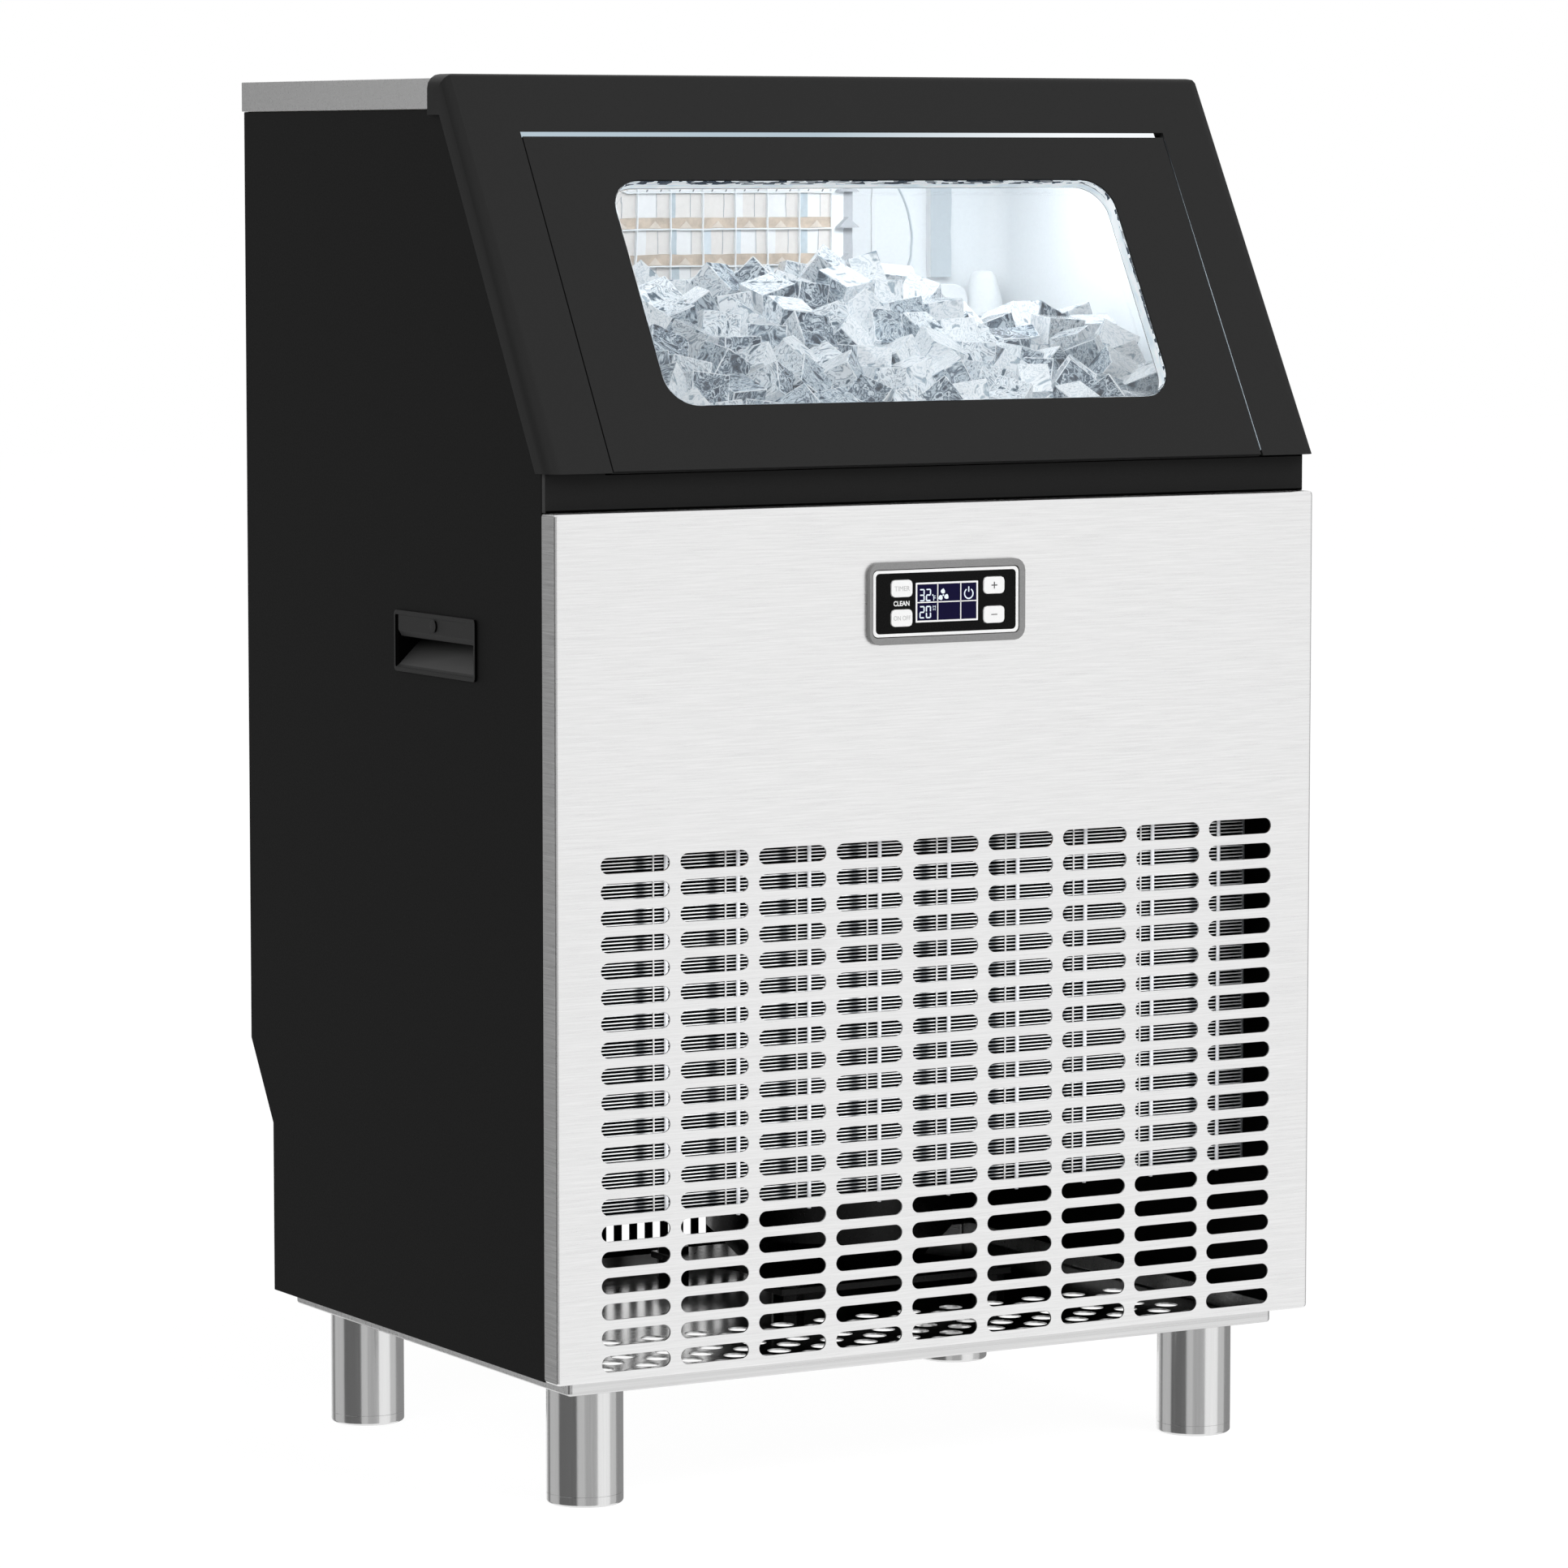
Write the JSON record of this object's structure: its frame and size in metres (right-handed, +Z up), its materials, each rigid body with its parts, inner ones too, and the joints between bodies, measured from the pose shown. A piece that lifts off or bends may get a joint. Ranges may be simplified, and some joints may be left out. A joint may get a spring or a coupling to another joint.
{
  "type": "undercounter ice maker",
  "caption": "Upright steel ice maker on short legs, with a slotted grille front, a control panel, a slanted flap door with a clear window, and an evaporator over an ice bin.",
  "frame": {"origin": "on the floor, under the middle of the machine's overall box", "axes": "+Z up, -Y towards the user, +X to the right of someone facing the machine"},
  "size_m": [0.506, 0.393, 0.798],
  "materials": {
    "brushed_steel": "brushed",
    "satin_steel": "satin",
    "black_sheet": "satin",
    "black_plastic": "matt",
    "grey_plastic": "satin",
    "white_plastic": "satin",
    "foam": "matt",
    "galvanised_steel": "satin",
    "aluminium": "satin",
    "copper": "satin",
    "compressor_paint": "gloss",
    "clear_acrylic": "clear",
    "ice": "clear",
    "rubber": "matt",
    "display_black": "gloss",
    "display_blue": "gloss",
    "circuit_board": "matt"
  },
  "bodies": {
    "cabinet": {"base_pan": "brushed_steel", "front_panel": "brushed_steel", "top_panel": "brushed_steel", "hinge_pin_left": "satin_steel", "hinge_pin_right": "satin_steel", "leg_front_left": "satin_steel", "leg_front_right": "satin_steel", "leg_rear_left": "satin_steel", "leg_rear_right": "satin_steel", "neck_panel": "black_sheet", "left_side_panel": "black_sheet", "right_side_panel": "black_sheet", "rear_panel": "black_sheet", "hood_frame": "black_plastic", "left_handle": "black_plastic", "right_handle": "black_plastic", "display_housing": "black_plastic", "cord_gland": "black_plastic", "display_bezel": "grey_plastic", "control_box": "grey_plastic", "bin_liner": "white_plastic", "evaporator_grid": "white_plastic", "water_distributor": "white_plastic", "water_trough": "white_plastic", "pump_housing": "white_plastic", "water_riser": "white_plastic", "float_cover": "white_plastic", "water_inlet": "white_plastic", "drain_outlet": "white_plastic", "bin_insulation": "foam", "machine_deck": "galvanised_steel", "fan_shroud": "galvanised_steel", "fan_motor": "galvanised_steel", "compressor_base": "galvanised_steel", "condenser_fins": "aluminium", "condenser_tubes": "aluminium", "evaporator_plate": "copper", "evaporator_coil": "copper", "filter_drier": "copper", "discharge_tube": "copper", "compressor": "compressor_paint", "ice_heap": "ice", "display_panel": "display_black", "display_screen": "display_blue", "control_board": "circuit_board"},
    "door": {"door_frame": "black_plastic", "window_pane": "clear_acrylic", "door_back_frame": "black_plastic", "door_gasket": "rubber"},
    "fan": {"fan_rotor": "black_plastic"},
    "button_timer_body": {"button_timer": "white_plastic"},
    "button_power_body": {"button_power": "white_plastic"},
    "button_plus_body": {"button_plus": "white_plastic"},
    "button_minus_body": {"button_minus": "white_plastic"},
    "foot_front_left_body": {"foot_front_left": "satin_steel"},
    "foot_front_right_body": {"foot_front_right": "satin_steel"},
    "foot_rear_left_body": {"foot_rear_left": "satin_steel"},
    "foot_rear_right_body": {"foot_rear_right": "satin_steel"}
  },
  "joints": [
    {"name": "door_hinge", "type": "hinge", "parent": "cabinet", "child": "door", "pos_m": [0, -0.08555, 0.75477], "axis": [-1, 0, 0], "range_deg": [0, 90]},
    {"name": "button_timer_press", "type": "slide", "parent": "cabinet", "child": "button_timer_body", "axis": [0, 1, 0], "range_m": [0, 0.0008], "stiffness_N_per_m": 400},
    {"name": "button_power_press", "type": "slide", "parent": "cabinet", "child": "button_power_body", "axis": [0, 1, 0], "range_m": [0, 0.0008], "stiffness_N_per_m": 400},
    {"name": "button_plus_press", "type": "slide", "parent": "cabinet", "child": "button_plus_body", "axis": [0, 1, 0], "range_m": [0, 0.0008], "stiffness_N_per_m": 400},
    {"name": "button_minus_press", "type": "slide", "parent": "cabinet", "child": "button_minus_body", "axis": [0, 1, 0], "range_m": [0, 0.0008], "stiffness_N_per_m": 400},
    {"name": "foot_front_left_level", "type": "slide", "parent": "cabinet", "child": "foot_front_left_body", "axis": [0, 0, -1], "range_m": [0, 0.015]},
    {"name": "foot_front_right_level", "type": "slide", "parent": "cabinet", "child": "foot_front_right_body", "axis": [0, 0, -1], "range_m": [0, 0.015]},
    {"name": "foot_rear_left_level", "type": "slide", "parent": "cabinet", "child": "foot_rear_left_body", "axis": [0, 0, -1], "range_m": [0, 0.015]},
    {"name": "foot_rear_right_level", "type": "slide", "parent": "cabinet", "child": "foot_rear_right_body", "axis": [0, 0, -1], "range_m": [0, 0.015]},
    {"name": "fan_spin", "type": "hinge", "parent": "cabinet", "child": "fan", "pos_m": [-0.06, -0.1122, 0.2674], "axis": [0, 1, 0], "continuous": true}
  ]
}
